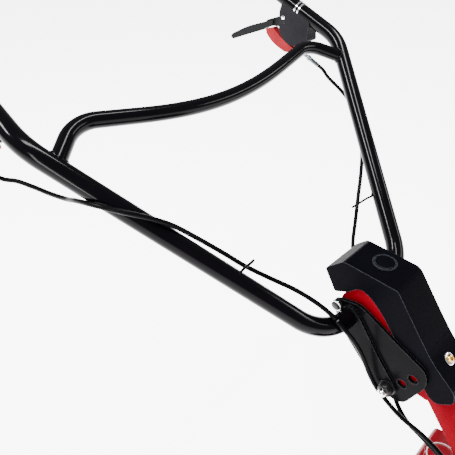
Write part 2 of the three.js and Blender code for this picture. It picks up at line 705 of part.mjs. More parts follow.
function rollerBracket(side) {
  const { y, z } = FRONT_ROLLER;
  const shape = outline([[y - 16, 16, 14], [y + 16, 16, 14], [y + 16, 148, 12], [y - 16, 148, 12]]);
  const slot = outline([[y - 5, 106, 5], [y + 5, 106, 5], [y + 5, CLAMP_Z + 8, 5], [y - 5, CLAMP_Z + 8, 5]]);
  const x0 = side > 0 ? 231 : -236;
  return plate(shape, x0, x0 + 5, [disc(y, z, FRONT_ROLLER.axle + 0.06), slot]);
}

// Wing knob whose stud runs through the bracket's slot to the side plate.
function clampKnob(side) {
  const profile = [
    [0, 230.4], [3.6, 230.4], [3.6, 236.4], [13, 236.4], [13, 242], [9, 246], [9, 250], [0, 250],
  ].map(([r, x]) => [r, side * x]);
  const hub = turnedX(profile, FRONT_ROLLER.y, CLAMP_Z, 14);
  const x0 = side > 0 ? 243 : -256;
  const wing = plateOf(
    [[FRONT_ROLLER.y - 4, CLAMP_Z - 27, 4], [FRONT_ROLLER.y + 4, CLAMP_Z - 27, 4],
      [FRONT_ROLLER.y + 4, CLAMP_Z + 27, 4], [FRONT_ROLLER.y - 4, CLAMP_Z + 27, 4]],
    x0,
    x0 + 13,
  );
  return join(hub, wing);
}

// ---------------------------------------------------------------- belts and their cover
// A belt round two pulleys: the outline of the two circles and their outer tangents.
function beltLoop(a, b, x) {
  const hull = (ra, rb) => {
    const way = Math.atan2(b.z - a.z, b.y - a.y);
    const gap = Math.hypot(b.y - a.y, b.z - a.z);
    const lean = Math.acos((ra - rb) / gap);
    const shape = new THREE.Shape();
    shape.absarc(a.y, a.z, ra, way + lean, way - lean + 2 * Math.PI, false);
    shape.absarc(b.y, b.z, rb, way - lean, way + lean, false);
    shape.closePath();
    return shape;
  };
  const inset = BELT.depth;
  const clear = 1;
  const outer = hull(a.r + clear + 1, b.r + clear + 1);
  return plate(outer, x - 3, x + 3, [hull(a.r + clear + 1 - inset / 2, b.r + clear + 1 - inset / 2)], 7);
}

const ENGINE_AT = { y: CRANK.y, z: CRANK.z };
const reelBelt = () =>
  beltLoop({ y: REEL.y, z: REEL.z, r: PULLEY.reel }, { ...ENGINE_AT, r: PULLEY.engine }, REEL_BELT_X);
const driveBelt = () =>
  beltLoop(
    { y: REAR_ROLLER.y, z: REAR_ROLLER.z, r: PULLEY.axle },
    { ...ENGINE_AT, r: PULLEY.engineDrive },
    DRIVE_BELT_X,
  );

const COVER_CORNERS = [
  [-246, 172, 60], [-242, 26, 40], [-60, 26, 60], [60, 12, 40], [160, 14, 50], [170, 120, 60], [152, 330, 46],
  [92, 356, 40], [24, 338, 40], [-130, 222, 60],
];

function beltCover() {
  const outer = plate(outline(COVER_CORNERS), 231, 292, [], 5);
  const inset = COVER_CORNERS.map(([y, z, r]) => {
    const way = new THREE.Vector2(y - -10, z - 160).normalize().multiplyScalar(4);
    return [y - way.x, z - way.y, r];
  });
  return cut(outer, plate(outline(inset), 225, 288.5, [], 5));
}

// ---------------------------------------------------------------- engine
function engineBlock() {
  const crankcase = plateOf(
    [[28, DECK_Z + GAP, 4], [146, DECK_Z + GAP, 4], [150, 240, 12], [146, 330, 20], [70, 345, 30], [24, 318, 24]],
    -84,
    84,
  );
  const barrel = box(-32, 32, 140, 206, 250, 318);
  const solids = [crankcase, barrel];
  for (let y = 158; y <= 202; y += 11) solids.push(box(-46, 46, y, y + 4, 236, 330));
  const bore = rodX(CRANK.radius + 0.6, -100, 100, CRANK.y, CRANK.z, 20);
  return cut(join(...solids), bore);
}

function crankshaft() {
  const shaft = rodX(CRANK.radius, -90, DRIVE_BELT_X + 10, CRANK.y, CRANK.z, 20);
  const reelSheave = turnedX(pulleyProfile(REEL_BELT_X, PULLEY.engine, 8), CRANK.y, CRANK.z, 14);
  const driveSheave = turnedX(pulleyProfile(DRIVE_BELT_X, PULLEY.engineDrive, 8), CRANK.y, CRANK.z, 12);
  return join(shaft, reelSheave, driveSheave);
}

function blowerHousing() {
  const profile = [
    [40, -92], [92, -92], [94, -96], [94, -140], [84, -152], [73.4, -152], [73.4, -149], [82, -147], [90, -138], [90, -96],
    [40, -96], [40, -92],
  ];
  return turnedX(profile, CRANK.y, CRANK.z, 20);
}

function recoilCover() {
  const dome = turnedX(
    [[0, -176], [34, -176], [58, -170], [71.5, -156], [71.5, -150], [68, -150], [66, -155], [55, -166], [33, -172],
      [0, -172]],
    CRANK.y,
    CRANK.z,
    18,
  );
  const slots = [];
  for (let i = 0; i < 8; i++) {
    const slot = box(-190, -140, 40, 58, -4, 4).rotateX((i * 45 + 22.5) * DEG);
    slots.push(slot.translate(0, CRANK.y, CRANK.z));
  }
  return cut(dome, ...slots);
}

// Pull handle of the starter, in front of the recoil cover.
function starterHandle() {
  return join(
    box(-168, -154, -14, -2, 288, 332).translate(0, 0, 0),
    box(-165, -157, -3, 0, 303, 317),
  );
}

function fuelTank() {
  const body = plateOf(
    [[96, 350, 10], [192, 350, 12], [206, 364, 12], [202, 386, 10], [186, 391, 8], [112, 391, 12], [94, 376, 12]],
    -70,
    96,
  );
  const hollow = plateOf(
    [[100, 354], [190, 354], [201, 366], [197, 383], [184, 387], [114, 387], [99, 374]],
    -66,
    92,
  );
  const { x, y, top } = FILLER;
  const neck = turnedZ([[0, 376], [19, 376], [19, top], [0, top]], x, y, 16);
  const mouth = turnedZ([[0, 370], [16, 370], [16, top + 9], [0, top + 9]], x, y, 16);
  return cut(join(body, neck), hollow, mouth);
}

function fuelCap() {
  const { x, y, top } = FILLER;
  const ribs = [];
  for (let i = 0; i < 6; i++) {
    ribs.push(box(24, 28.4, -2.5, 2.5, top - 0.5, top + 6).rotateZ(i * 60 * DEG).translate(x, y, 0));
  }
  const profile = [
    [19.6, top - 0.6], [26, top - 0.6], [27, top + 0.6], [27, top + 6], [23, top + 11.5], [12, top + 15.2], [0, top + 16],
    [0, top + 0.6], [19.6, top + 0.6], [19.6, top - 0.6],
  ];
  return join(turnedZ(profile, x, y, 16), ...ribs);
}

function muffler() {
  return plateOf([[152, 206, 8], [196, 206, 10], [202, 226, 8], [196, 250, 10], [152, 250, 8]], 52, 104);
}

function airCleaner() {
  return plateOf([[154, 206, 8], [204, 206, 12], [210, 270, 14], [202, 318, 14], [154, 322, 6]], -88, -52);
}

function rearTieBar() {
  return rodX(8, -ACROSS, ACROSS, 150, 150, 16);
}

function headTieBolt() {
  const { y, z, shank, head } = TIE_BOLT;
  const headFrom = ARM.inner + ARM.thickness + 2 * GAP;
  const bar = rodX(shank, -headFrom - 2, headFrom + 2, y, z, 12);
  const nearHead = rodX(head, -headFrom - 6, -headFrom, y, z, 16);
  const farHead = rodX(head, headFrom, headFrom + 6, y, z, 16);
  return join(bar, nearHead, farHead);
}

// ---------------------------------------------------------------- assembly
const machine = new THREE.Group();
machine.position.y = CENTRE_SHIFT_Y;

function add(name, geometry, material) {
  const mesh = new THREE.Mesh(fromManifold(toManifold(geometry).simplify(MERGE_TOLERANCE)), material);
  mesh.name = name;
  machine.add(mesh);
}

add("handlebar_tube", handlebarTube(), glossBlack());
add("crossbar", crossbar(), glossBlack());
for (const [hand, side] of [["left", 1], ["right", -1]]) {
  add(`grip_${hand}`, grip(side), rubber());
  add(`lever_housing_${hand}`, leverHousing(side), greyPlastic());
  add(`clutch_lever_${hand}`, clutchLever(side), blackPlastic());
  add(`safety_latch_${hand}`, safetyLatch(side), redPlastic());
  add(`handle_arm_${hand}`, handleArm(side), blackSteel());
  add(`sector_plate_${hand}`, sectorPlate(side), blackSteel());
  add(`side_plate_${hand}`, sidePlate(side), redPaint());
  add(`rear_roller_${hand}`, rearRoller(side), aluminium());
  add(`roller_bracket_${hand}`, rollerBracket(side), blackSteel());
  add(`clamp_knob_${hand}`, clampKnob(side), blackPlastic());
}
add("cable_adjuster_left", leftAdjuster(), chrome());
add("cable_adjuster_right", rightAdjuster(), chrome());
add("lock_knob", lockBolt(-1, 10.5, 14), blackPlastic());
add("lock_bolt_left", lockBolt(1, 8.5, 6), steel());
for (const [name, route] of Object.entries(CABLE_ROUTES)) add(name, cable(route), rubber());
add("steering_column", steeringColumn(), redPaint());
add("column_foot", columnFoot(), redPaint());
add("column_cover", columnCover(), blackPlastic());
add("cover_cap", coverCap(), blackPlastic());
add("cover_screw", coverScrew(), steel());
add("head_tie_bolt", headTieBolt(), steel());
add("engine_deck", engineDeck(), redPaint());
add("cross_beam", crossBeam(), redPaint());
add("rear_tie_bar", rearTieBar(), steel());
add("deflector", deflector(), blackSteel());
add("bed_bar", bedBar(), blackSteel());
add("bed_knife", bedKnife(), steel());
add("reel_shaft", reelShaft(), steel());
add("reel_cage", reelCage(), steel());
add("reel_pulley", reelPulley(), castGrey());
add("rear_axle", rearAxle(), steel());
add("front_roller", frontRoller(), aluminium());
add("reel_belt", reelBelt(), rubber());
add("drive_belt", driveBelt(), rubber());
add("belt_cover", beltCover(), blackPlastic());
add("engine_block", engineBlock(), castGrey());
add("crankshaft", crankshaft(), steel());
add("blower_housing", blowerHousing(), blackPlastic());
add("recoil_cover", recoilCover(), redPlastic());
add("starter_handle", starterHandle(), blackPlastic());
add("fuel_tank", fuelTank(), redPlastic());
add("fuel_cap", fuelCap(), redPlastic());
add("muffler", muffler(), steel());
add("air_cleaner", airCleaner(), blackPlastic());

export default machine;
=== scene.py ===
"""Looks of a powered walk-behind reel mower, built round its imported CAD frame.

Shapes are worked out in millimetres in the machine's own axes: X to the operator's left, front towards -Y,
Y = 0 below the column's foot and Z up. world() turns such a point into the row frame, in metres.
"""

import math

import bmesh
import bpy
from mathutils import Matrix, Vector

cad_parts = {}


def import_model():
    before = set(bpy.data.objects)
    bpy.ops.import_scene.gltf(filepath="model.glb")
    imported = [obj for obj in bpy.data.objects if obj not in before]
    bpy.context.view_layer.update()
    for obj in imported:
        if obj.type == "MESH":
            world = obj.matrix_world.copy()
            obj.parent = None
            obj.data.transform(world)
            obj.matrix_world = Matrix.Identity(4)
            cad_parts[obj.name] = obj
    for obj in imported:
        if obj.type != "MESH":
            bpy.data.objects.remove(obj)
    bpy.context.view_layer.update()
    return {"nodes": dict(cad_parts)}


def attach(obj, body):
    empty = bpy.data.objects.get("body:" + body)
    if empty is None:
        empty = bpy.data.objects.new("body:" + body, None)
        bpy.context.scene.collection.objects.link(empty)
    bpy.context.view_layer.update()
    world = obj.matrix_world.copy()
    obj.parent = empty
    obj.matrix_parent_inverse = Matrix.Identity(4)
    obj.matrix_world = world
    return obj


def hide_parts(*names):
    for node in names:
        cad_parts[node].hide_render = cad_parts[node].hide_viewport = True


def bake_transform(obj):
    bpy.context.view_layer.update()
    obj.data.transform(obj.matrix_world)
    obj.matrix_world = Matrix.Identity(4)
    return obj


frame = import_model()

SHIFT_Y = -327.78
MM = 0.001
X_AXIS, Y_AXIS, Z_AXIS = Vector((1, 0, 0)), Vector((0, 1, 0)), Vector((0, 0, 1))


def world(point):
    """A point in machine millimetres, in the row frame's metres."""
    return Vector((point[0], point[1] + SHIFT_Y, point[2])) * MM


# ---------------------------------------------------------------- materials
def set_ramp(node, low, high, low_at=0.0, high_at=1.0):
    node.color_ramp.elements[0].position = low_at
    node.color_ramp.elements[0].color = (*low, 1)
    node.color_ramp.elements[1].position = high_at
    node.color_ramp.elements[1].color = (*high, 1)


EDGE_HIGHLIGHT_AND_WEAR_RADIUS = 0.0009
MOTTLE_SCALE, GLOSS_SCALE = 22.0, 55.0
BUMP_DISTANCE = 0.0006


def material(
    name, color, roughness, metallic=0.0, grain=600.0, bump=0.05, vary=0.18, spread=0.08, edge_highlight_and_wear=None,
    specular=0.5, stretch=(1, 1, 1),
):
    """A procedural material: mottled colour, uneven roughness, fine bump and lighter edges, on the cover and
    plates a painted edge highlight.
    """
    made = bpy.data.materials.new(name)
    made.use_nodes = True
    nodes, links = made.node_tree.nodes, made.node_tree.links
    shader = nodes["Principled BSDF"]
    shader.inputs["Metallic"].default_value = metallic
    shader.inputs["Specular IOR Level"].default_value = specular
    place = nodes.new("ShaderNodeTexCoord")
    scale = nodes.new("ShaderNodeMapping")
    scale.inputs["Scale"].default_value = stretch
    links.new(place.outputs["Object"], scale.inputs["Vector"])

    def noise(size, detail=4.0):
        node = nodes.new("ShaderNodeTexNoise")
        node.inputs["Scale"].default_value = size
        node.inputs["Detail"].default_value = detail
        links.new(scale.outputs["Vector"], node.inputs["Vector"])
        return node

    mottle = nodes.new("ShaderNodeValToRGB")
    set_ramp(mottle, [c * (1 - vary) for c in color], [min(1.0, c * (1 + vary)) for c in color], 0.3, 0.7)
    links.new(noise(MOTTLE_SCALE).outputs["Fac"], mottle.inputs["Fac"])
    colour = mottle.outputs["Color"]
    # a lighter colour on rounded edges: on the cover and plates this is a painted highlight
    if edge_highlight_and_wear is not None:
        edges, rounded = nodes.new("ShaderNodeNewGeometry"), nodes.new("ShaderNodeBevel")
        rounded.samples = 4
        rounded.inputs["Radius"].default_value = EDGE_HIGHLIGHT_AND_WEAR_RADIUS
        turn = nodes.new("ShaderNodeVectorMath")
        turn.operation = "DOT_PRODUCT"
        links.new(edges.outputs["Normal"], turn.inputs[0])
        links.new(rounded.outputs["Normal"], turn.inputs[1])
        mask = nodes.new("ShaderNodeValToRGB")
        set_ramp(mask, (0.7, 0.7, 0.7), (0, 0, 0), 0.86, 0.985)
        links.new(turn.outputs["Value"], mask.inputs["Fac"])
        mix = nodes.new("ShaderNodeMix")
        mix.data_type = "RGBA"
        mix.inputs["B"].default_value = (*edge_highlight_and_wear, 1)
        links.new(mask.outputs["Color"], mix.inputs["Factor"])
        links.new(colour, mix.inputs["A"])
        colour = mix.outputs["Result"]
    links.new(colour, shader.inputs["Base Color"])
    rough = nodes.new("ShaderNodeMapRange")
    rough.inputs["To Min"].default_value = max(0.02, roughness - spread)
    rough.inputs["To Max"].default_value = min(1.0, roughness + spread)
    links.new(noise(GLOSS_SCALE, 6.0).outputs["Fac"], rough.inputs["Value"])
    links.new(rough.outputs["Result"], shader.inputs["Roughness"])
    relief = nodes.new("ShaderNodeBump")
    relief.inputs["Strength"].default_value = bump
    relief.inputs["Distance"].default_value = BUMP_DISTANCE
    links.new(noise(grain, 3.0).outputs["Fac"], relief.inputs["Height"])
    links.new(relief.outputs["Normal"], shader.inputs["Normal"])
    return made


GLOSS_BLACK = material(
    "gloss_black_tube", (0.0012, 0.0010, 0.0015), 0.12, specular=0.06, grain=900, bump=0.015, spread=0.03)
# its lighter edge colour is a painted edge highlight
PLATE_BLACK = material(
    "plate_black", (0.0016, 0.0015, 0.0019), 0.28, specular=0.012, grain=700, bump=0.05,
    edge_highlight_and_wear=(0.055, 0.055, 0.06))
# its lighter edge colour is a painted edge highlight
COVER_BLACK = material(
    "cover_plastic", (0.0012, 0.0012, 0.0019), 0.42, specular=0.006, grain=1500, bump=0.05, spread=0.05,
    edge_highlight_and_wear=(0.06, 0.065, 0.08))
HOUSING_GREY = material(
    "housing_plastic", (0.0075, 0.0070, 0.0084), 0.5, specular=0.02, grain=1300, bump=0.2,
    edge_highlight_and_wear=(0.04, 0.04, 0.045))
LEVER_BLACK = material("lever_plastic", (0.0065, 0.0070, 0.0072), 0.45, specular=0.02, grain=1200, bump=0.2)
LATCH_RED = material(
    "latch_red", (0.150, 0.0080, 0.0110), 0.4, specular=0.03, grain=1000, bump=0.1, edge_highlight_and_wear=(0.24, 0.03, 0.035))
RUBBER = material("grip_rubber", (0.0030, 0.0030, 0.0030), 0.8, specular=0.05, grain=1400, bump=0.5)
CABLE_BLACK = material("cable_black", (0.0014, 0.0014, 0.0016), 0.3, specular=0.025, grain=800, bump=0.08)
CHROME = material("chrome_small", (0.82, 0.82, 0.84), 0.12, metallic=1, grain=500, bump=0.03, spread=0.05)
STEEL = material("steel_bright", (0.34, 0.34, 0.36), 0.32, metallic=1, grain=400, bump=0.1,
    stretch=(0.1, 1, 1))
ZINC = material("zinc_adjuster", (0.095, 0.105, 0.115), 0.3, metallic=1, grain=400, bump=0.1)
BRASS = material("brass_screw", (0.50, 0.30, 0.06), 0.25, metallic=1, grain=500, bump=0.06)
RED_PAINT = material(
    "red_paint", (0.105, 0.0002, 0.0036), 0.42, specular=0.008, grain=800, bump=0.03, vary=0.08,
    edge_highlight_and_wear=(0.16, 0.004, 0.010))
RED_PLASTIC = material(
    "shroud_red", (0.110, 0.0008, 0.0045), 0.32, specular=0.12, grain=1100, bump=0.06, vary=0.1)
# pale: the spark plug's ceramic, and a painted highlight on the fuel cap's rim
PALE_CERAMIC_AND_RIM_HIGHLIGHT = material("pale_ceramic_and_painted_highlight", (0.40, 0.33, 0.34), 0.35, specular=0.3, grain=700, bump=0.1)
KNOB_BLACK = material(
    "knob_black", (0.0030, 0.0030, 0.0032), 0.35, specular=0.12, grain=1000, bump=0.12,
    edge_highlight_and_wear=(0.03, 0.03, 0.03))
SHROUD_BLACK = material(
    "shroud_black", (0.0050, 0.0050, 0.0056), 0.45, specular=0.08, grain=1000, bump=0.18,
    edge_highlight_and_wear=(0.03, 0.03, 0.03))
CAST = material("cast_engine", (0.16, 0.165, 0.17), 0.5, metallic=0.9, grain=260, bump=0.5,
    edge_highlight_and_wear=(0.3, 0.3, 0.3))
ALLOY = material("roller_alloy", (0.22, 0.225, 0.23), 0.36, metallic=1, grain=300, bump=0.15,
    stretch=(0.1, 1, 1))
REEL_STEEL = material("reel_steel", (0.03, 0.03, 0.033), 0.42, metallic=0.5, grain=300, bump=0.2,
    edge_highlight_and_wear=(0.3, 0.3, 0.3))
BELT = material("belt_rubber", (0.0040, 0.0040, 0.0040), 0.7, specular=0.1, grain=900, bump=0.3)
MUFFLER_STEEL = material("muffler_steel", (0.18, 0.17, 0.16), 0.45, metallic=1, grain=200, bump=0.25)

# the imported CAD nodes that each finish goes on
NODE_FINISHES = [
    (GLOSS_BLACK, ["handlebar_tube", "crossbar"]),
    (RUBBER, ["grip_left", "grip_right"]),
    (HOUSING_GREY, ["lever_housing_left", "lever_housing_right"]),
    (LEVER_BLACK, ["clutch_lever_left", "clutch_lever_right"]),
    (LATCH_RED, ["safety_latch_left", "safety_latch_right"]),
    (CHROME, ["cable_adjuster_left", "cable_adjuster_right", "head_tie_bolt"]),
    (PLATE_BLACK, [
        "handle_arm_left", "handle_arm_right", "sector_plate_left", "sector_plate_right",
        "roller_bracket_left",
        "roller_bracket_right", "deflector", "bed_bar"]),
    (STEEL, [
        "lock_bolt_left", "cover_screw", "rear_tie_bar", "bed_knife", "reel_shaft", "rear_axle",
        "crankshaft"]),
    (MUFFLER_STEEL, ["muffler"]),
    (REEL_STEEL, ["reel_cage"]),
    (KNOB_BLACK, ["lock_knob", "clamp_knob_left", "clamp_knob_right", "starter_handle"]),
    (RED_PAINT, [
        "steering_column", "column_foot", "side_plate_left", "side_plate_right", "engine_deck",
        "cross_beam"]),
    (COVER_BLACK, ["column_cover", "cover_cap"]),
    (SHROUD_BLACK, ["belt_cover", "blower_housing", "air_cleaner"]),
    (CAST, ["engine_block", "reel_pulley"]),
    (ALLOY, ["rear_roller_left", "rear_roller_right", "front_roller"]),
    (BELT, ["reel_belt", "drive_belt"]),
    (RED_PLASTIC, ["recoil_cover", "fuel_tank", "fuel_cap"]),
    (CABLE_BLACK, [
        "clutch_cable_right_upper", "clutch_cable_right_lower", "clutch_cable_left_upper",
        "clutch_cable_left_lower"]),
]
# rounds on the CAD nodes' hard edges
BEVEL_MM = {
    "column_cover": 2.2, "lever_housing_left": 1.6, "lever_housing_right": 1.6, "clutch_lever_left": 2.4,
    "clutch_lever_right": 2.4, "safety_latch_left": 1.8, "safety_latch_right": 1.8, "belt_cover": 3.0,
    "fuel_tank": 3.0, "air_cleaner": 4.0, "muffler": 4.0, "steering_column": 1.0, "side_plate_left": 0.8,
    "side_plate_right": 0.8, "engine_block": 1.2, "column_foot": 1.5, "cross_beam": 1.5, "engine_deck": 0.8,
    "sector_plate_left": 0.6, "sector_plate_right": 0.6, "handle_arm_left": 0.6, "handle_arm_right": 0.6,
    "roller_bracket_left": 0.6, "roller_bracket_right": 0.6, "clamp_knob_left": 1.0, "clamp_knob_right": 1.0,
    "starter_handle": 2.0, "bed_bar": 0.8,
}
SHARP_ANGLE = math.radians(38)


def soften(obj, width_mm=0.0, segments=2):
    """Smooth shading between flat-ish neighbours, and a small round on the hard edges."""
    for face in obj.data.polygons:
        face.use_smooth = True
    obj.data.set_sharp_from_angle(angle=SHARP_ANGLE)
    if width_mm:
        bevel = obj.modifiers.new("edge_round", "BEVEL")
        bevel.width = width_mm * MM
        bevel.segments = segments
        bevel.limit_method = "ANGLE"
        bevel.angle_limit = SHARP_ANGLE
        bevel.harden_normals = True
        bevel.use_clamp_overlap = True


for finish, node_names in NODE_FINISHES:
    for node_name in node_names:
        node = frame["nodes"][node_name]
        node.data.materials.clear()
        node.data.materials.append(finish)
        soften(node, BEVEL_MM.get(node_name, 0.0))


# ---------------------------------------------------------------- mesh helpers
def piece(name, vertices, faces, body, finish, replaces=(), edge=0.0, segments=2):
    """A mesh from points in machine millimetres, riding on a body."""
    mesh = bpy.data.meshes.new(name)
    mesh.from_pydata([world(v) for v in vertices], [], faces)
    solid = bmesh.new()
    solid.from_mesh(mesh)
    bmesh.ops.remove_doubles(solid, verts=solid.verts, dist=1e-6)
    bmesh.ops.recalc_face_normals(solid, faces=solid.faces)
    solid.to_mesh(mesh)
    solid.free()
    obj = bpy.data.objects.new(name, mesh)
    bpy.context.scene.collection.objects.link(obj)
    mesh.materials.append(finish)
    soften(obj, edge, segments)
    if body is not None:
        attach(obj, body)
    if replaces:
        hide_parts(*replaces)
    return obj


def join_parts(*parts):
    vertices, faces = [], []
    for part_vertices, part_faces in parts:
        faces += [[index + len(vertices) for index in face] for face in part_faces]
        vertices += part_vertices
    return vertices, faces


def tube(points, radius, sides=24, closed=False):
    """A round section carried along points without twist.

    The radius may be a function of the share of the way.
    """
    points = [Vector(p) for p in points]
    count = len(points)
    vertices, faces = [], []
    normal = None
    for i, point in enumerate(points):
        if closed:
            tangent = (points[(i + 1) % count] - points[i - 1]).normalized()
        else:
            tangent = (points[min(i + 1, count - 1)] - points[max(i - 1, 0)]).normalized()
        if normal is None:
            guess = Z_AXIS if abs(tangent.z) < 0.9 else X_AXIS
            normal = tangent.cross(guess).normalized()
        normal = (normal - tangent * normal.dot(tangent)).normalized()
        side = tangent.cross(normal)
        size = radius(i / (count - 1)) if callable(radius) else radius
        for k in range(sides):
            angle = 2 * math.pi * k / sides
            vertices.append(point + (normal * math.cos(angle) + side * math.sin(angle)) * size)
    for i in range(count if closed else count - 1):
        for k in range(sides):
            a, b = i * sides + k, i * sides + (k + 1) % sides
            c, d = ((i + 1) % count) * sides + (k + 1) % sides, ((i + 1) % count) * sides + k
            faces.append([a, b, c, d])
    if not closed:
        faces.append(list(range(sides)))
        faces.append(list(range((count - 1) * sides, count * sides)))
    return vertices, faces


def turned(profile, centre, axis, sides=48):
    """A turned piece: profile points are (distance along the axis, radius)."""
    axis, centre = Vector(axis).normalized(), Vector(centre)
    guess = Z_AXIS if abs(axis.z) < 0.9 else X_AXIS
    across = axis.cross(guess).normalized()
    up = axis.cross(across)
    closed = profile[0] == profile[-1]
    rows = profile[:-1] if closed else profile
    vertices, faces = [], []
    for along, radius in rows:
        for k in range(sides):
            angle = 2 * math.pi * k / sides
            spoke = across * math.cos(angle) + up * math.sin(angle)
            vertices.append(centre + axis * along + spoke * radius)
    spans = len(rows) if closed else len(rows) - 1
    for i in range(spans):
        j = (i + 1) % len(rows)
        for k in range(sides):
            faces.append([i * sides + k, i * sides + (k + 1) % sides, j * sides + (k + 1) % sides,
                j * sides + k])
    if not closed:
        for i in (0, len(rows) - 1):
            if rows[i][1] > 1e-3:
                faces.append([i * sides + k for k in range(sides)])
    return vertices, faces


def slab(outline, x0, x1):
    """A flat plate from a closed (y, z) outline, between two X places."""
    count = len(outline)
    vertices = [Vector((x0, y, z)) for y, z in outline] + [Vector((x1, y, z)) for y, z in outline]
    faces = [list(range(count)), list(range(count, 2 * count))]
    faces += [[k, (k + 1) % count, count + (k + 1) % count, count + k] for k in range(count)]
    return vertices, faces


def block(x0, x1, y0, y1, z0, z1):
    return slab([(y0, z0), (y1, z0), (y1, z1), (y0, z1)], x0, x1)


def moved(part, matrix):
    return [matrix @ v for v in part[0]], part[1]


def hexagon(radius, from_along, to_along, centre, axis):
    crown = 0.12 * radius
    return turned(
        [(from_along, radius), (to_along - crown, radius), (to_along, radius - crown), (to_along, 0.0)],
        centre, axis, 6)


def bolt(centre, axis, radius=6.0, height=4.5):
    """A washer, a hexagon head and the end of its shank."""
    washer = turned([(0, 0.0), (0, radius * 1.45), (1.2, radius * 1.45), (1.2, 0.0)], centre, axis, 32)
    return join_parts(washer, hexagon(radius, 1.2, 1.2 + height, centre, axis))


def rounded_route(corners, step=math.radians(3)):
    """A path through (point, radius) corners, each rounded with an arc."""
    route = [Vector(corners[0][0])]
    for i in range(1, len(corners) - 1):
        corner, radius = Vector(corners[i][0]), corners[i][1]
        back = (Vector(corners[i - 1][0]) - corner).normalized()
        ahead = (Vector(corners[i + 1][0]) - corner).normalized()
        turn = math.pi - back.angle(ahead)
        reach = radius * math.tan(turn / 2)
        centre = corner + (back + ahead).normalized() * (radius / math.cos(turn / 2))
        start = corner + back * reach - centre
        axis = start.cross(corner + ahead * reach - centre).normalized()
        steps = max(3, round(turn / step))
        for k in range(steps + 1):
            route.append(Matrix.Rotation(turn * k / steps, 3, axis) @ start + centre)
    route.append(Vector(corners[-1][0]))
    return route


def spline(points, per_span=8):
    """A centripetal Catmull-Rom curve through points."""
    points = [Vector(p) for p in points]
    ends = [points[0] * 2 - points[1], *points, points[-1] * 2 - points[-2]]
    route = []
    for i in range(1, len(ends) - 2):
        a, b, c, d = ends[i - 1 : i + 3]
        t0, t1 = 0.0, max(1e-4, (b - a).length ** 0.5)
        t2 = t1 + max(1e-4, (c - b).length ** 0.5)
        t3 = t2 + max(1e-4, (d - c).length ** 0.5)
        for k in range(per_span):
            t = t1 + (t2 - t1) * k / per_span
            p = a * ((t1 - t) / (t1 - t0)) + b * ((t - t0) / (t1 - t0))
            q = b * ((t2 - t) / (t2 - t1)) + c * ((t - t1) / (t2 - t1))
            r = c * ((t3 - t) / (t3 - t2)) + d * ((t - t2) / (t3 - t2))
            s = p * ((t2 - t) / (t2 - t0)) + q * ((t - t0) / (t2 - t0))
            u = q * ((t3 - t) / (t3 - t1)) + r * ((t - t1) / (t3 - t1))
            route.append(s * ((t2 - t) / (t2 - t1)) + u * ((t - t1) / (t2 - t1)))
    route.append(points[-1])
    return route


# ---------------------------------------------------------------- places on the handlebar
PIVOT_Y, PIVOT_Z = 347.0, 680.0
SLOPE, FLARE, RISE, FOOT_X = math.radians(38.15), math.radians(28.21), 412.6, 101.8
GRIP_SLOPE = math.radians(20.95)
TOP_X = FOOT_X + math.tan(FLARE) * RISE


def on_leg(x, run, lift=0.0):
    """A place on the handlebar's sloping plane, run along it from the pivot and lift above it."""
    return Vector((
        x,
        PIVOT_Y + run * math.cos(SLOPE) - lift * math.sin(SLOPE),
        PIVOT_Z + run * math.sin(SLOPE) + lift * math.cos(SLOPE),
    ))


GRIP_ROOT = on_leg(0, RISE)
GRIP_ALONG = Vector((0, math.cos(GRIP_SLOPE), math.sin(GRIP_SLOPE)))
GRIP_UP = Vector((0, -math.sin(GRIP_SLOPE), math.cos(GRIP_SLOPE)))


def on_grip(x, u, v=0.0):
    """A place beside a grip, u along it from the bend and v above it."""
    return GRIP_ROOT + Vector((x, 0, 0)) + GRIP_ALONG * u + GRIP_UP * v


def leg_x(run):
    return FOOT_X + math.tan(FLARE) * run


SIDES = (("left", 1), ("right", -1))

# ---------------------------------------------------------------- handlebar
TUBE_END, TUBE_RADIUS, CROSS_RADIUS = 322, 14.0, 11.5
handlebar_route = rounded_route([
    (on_grip(TOP_X, TUBE_END), 0), (on_grip(TOP_X, 0), 100), (on_leg(FOOT_X, 0), 85),
    (on_leg(-FOOT_X, 0), 85),
    (on_grip(-TOP_X, 0), 100), (on_grip(-TOP_X, TUBE_END), 0),
])
piece("bent_handlebar_tube", *tube(handlebar_route, TUBE_RADIUS, 48), "handlebar", GLOSS_BLACK,
    ["handlebar_tube"])

JOINT_RUN, CORNER_X, CORNER_RUN, DROP = 372, 245, 424, -7


def crossbar_route():
    bowed = []
    for x in range(-160, 161, 20):
        part = (x / 200) ** 2
        bowed.append(on_leg(x, 382 + 37 * part - 5 * part * part, DROP))
    ends = []
    for side, neighbour in ((-1, bowed[0]), (1, bowed[-1])):
        ends.append(rounded_route([
            (on_leg(side * leg_x(JOINT_RUN), JOINT_RUN), 0), (on_leg(side * CORNER_X, CORNER_RUN, DROP), 60),
            (neighbour, 0)]))
    return spline(ends[0][:-1], 2)[:-1] + spline(bowed, 4) + spline(ends[1][:-1], 2)[::-1]


cross_route = crossbar_route()
piece("bowed_crossbar", *tube(cross_route, CROSS_RADIUS, 40), "handlebar", GLOSS_BLACK, ["crossbar"])

